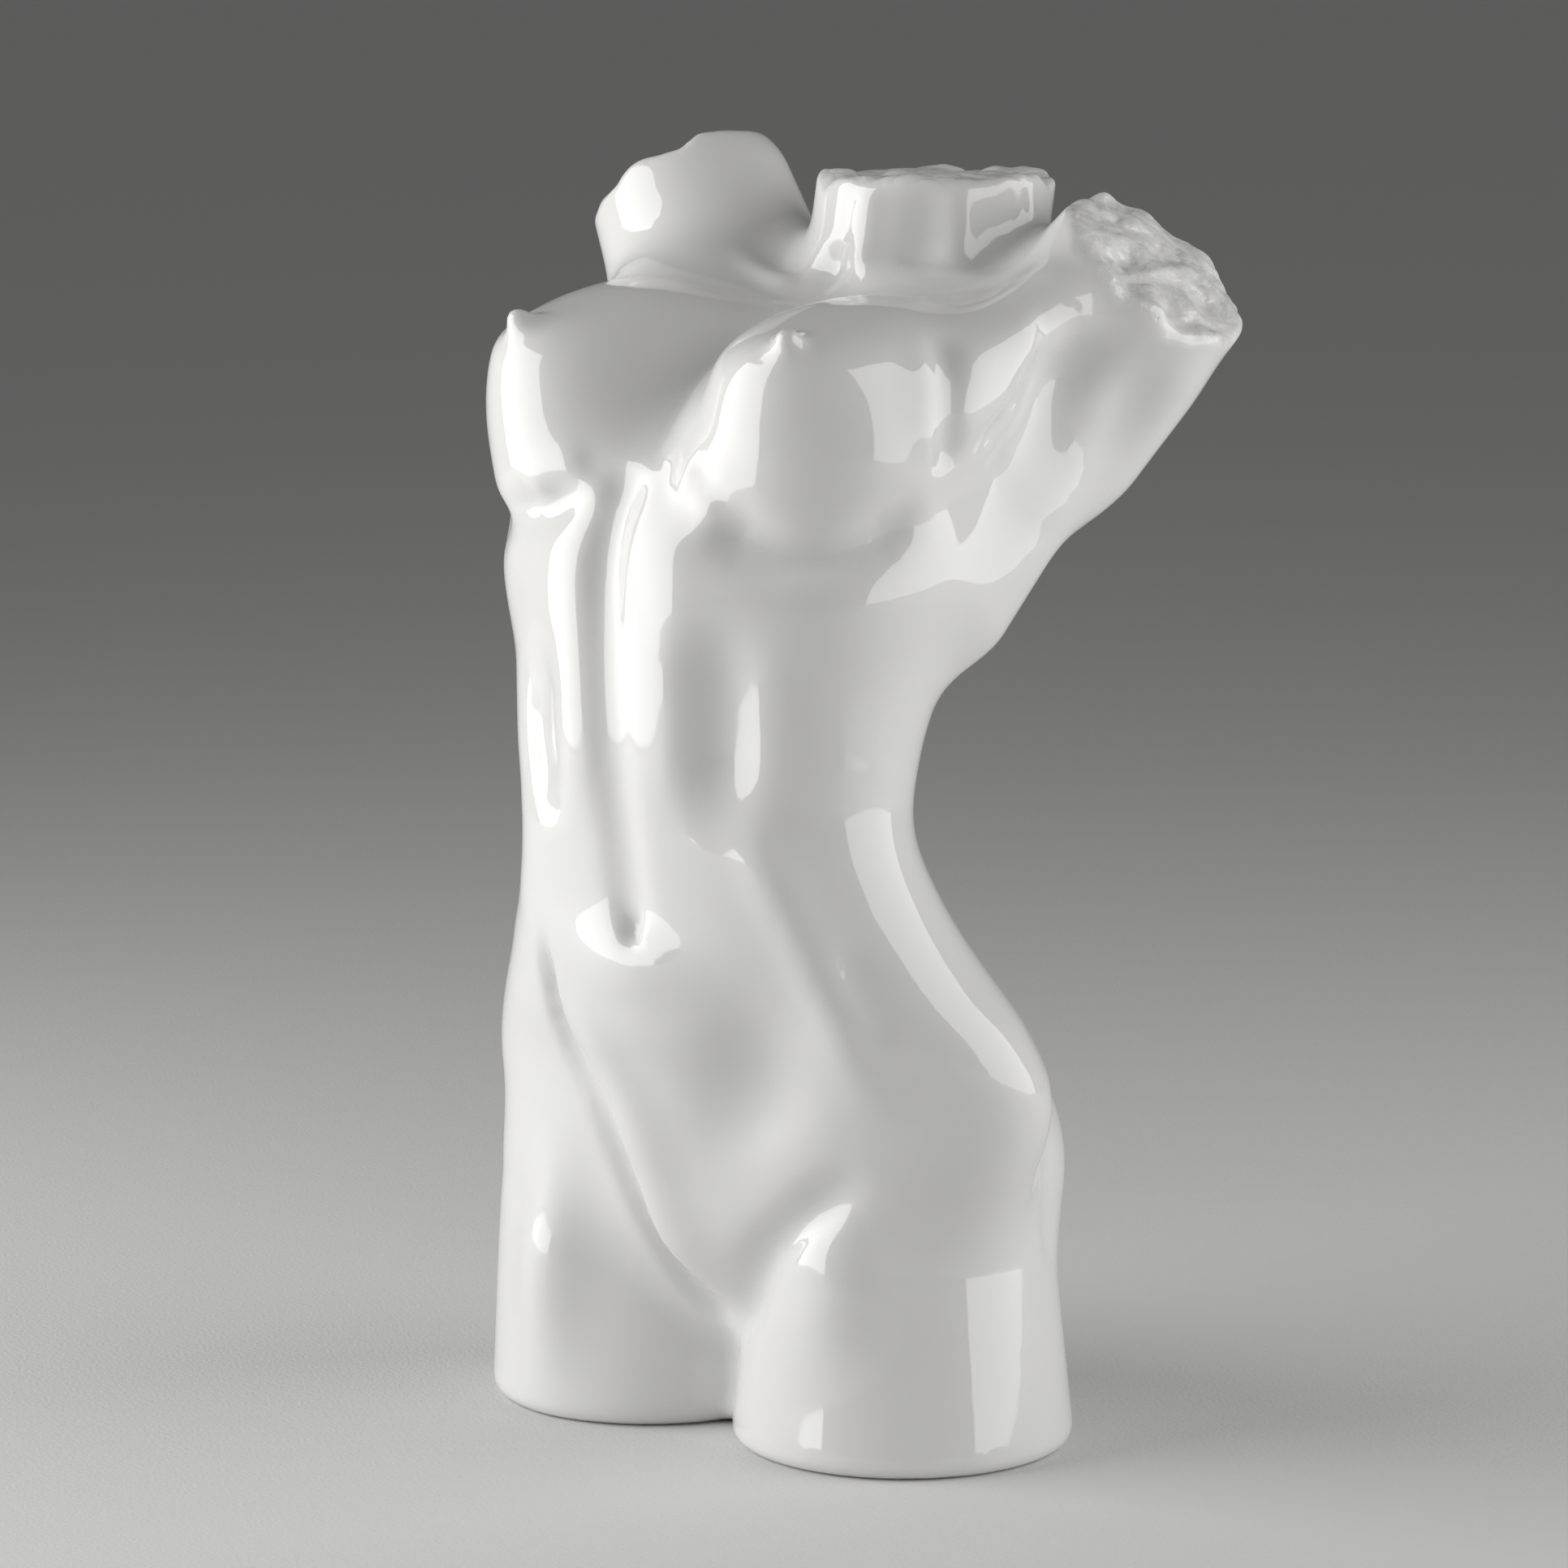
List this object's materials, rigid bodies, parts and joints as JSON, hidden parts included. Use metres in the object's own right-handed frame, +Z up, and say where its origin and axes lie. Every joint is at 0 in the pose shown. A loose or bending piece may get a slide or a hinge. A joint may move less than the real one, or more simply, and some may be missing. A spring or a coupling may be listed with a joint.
{
  "type": "torso sculpture",
  "caption": "Glazed white porcelain torso of a woman with arched back, raised arms and neck ending in rough breaks, standing on its cut-off thighs.",
  "frame": {"origin": "middle of the flat underside, between the two cut thighs, on the surface it stands on", "axes": "+Z up the figure, -Y the way it faces, +X towards its own left arm"},
  "size_m": [0.173, 0.1418, 0.2987],
  "materials": {
    "porcelain": "smooth glossy white glaze, duller on the broken ends"
  },
  "bodies": {
    "root": {"torso": "porcelain"}
  },
  "joints": []
}
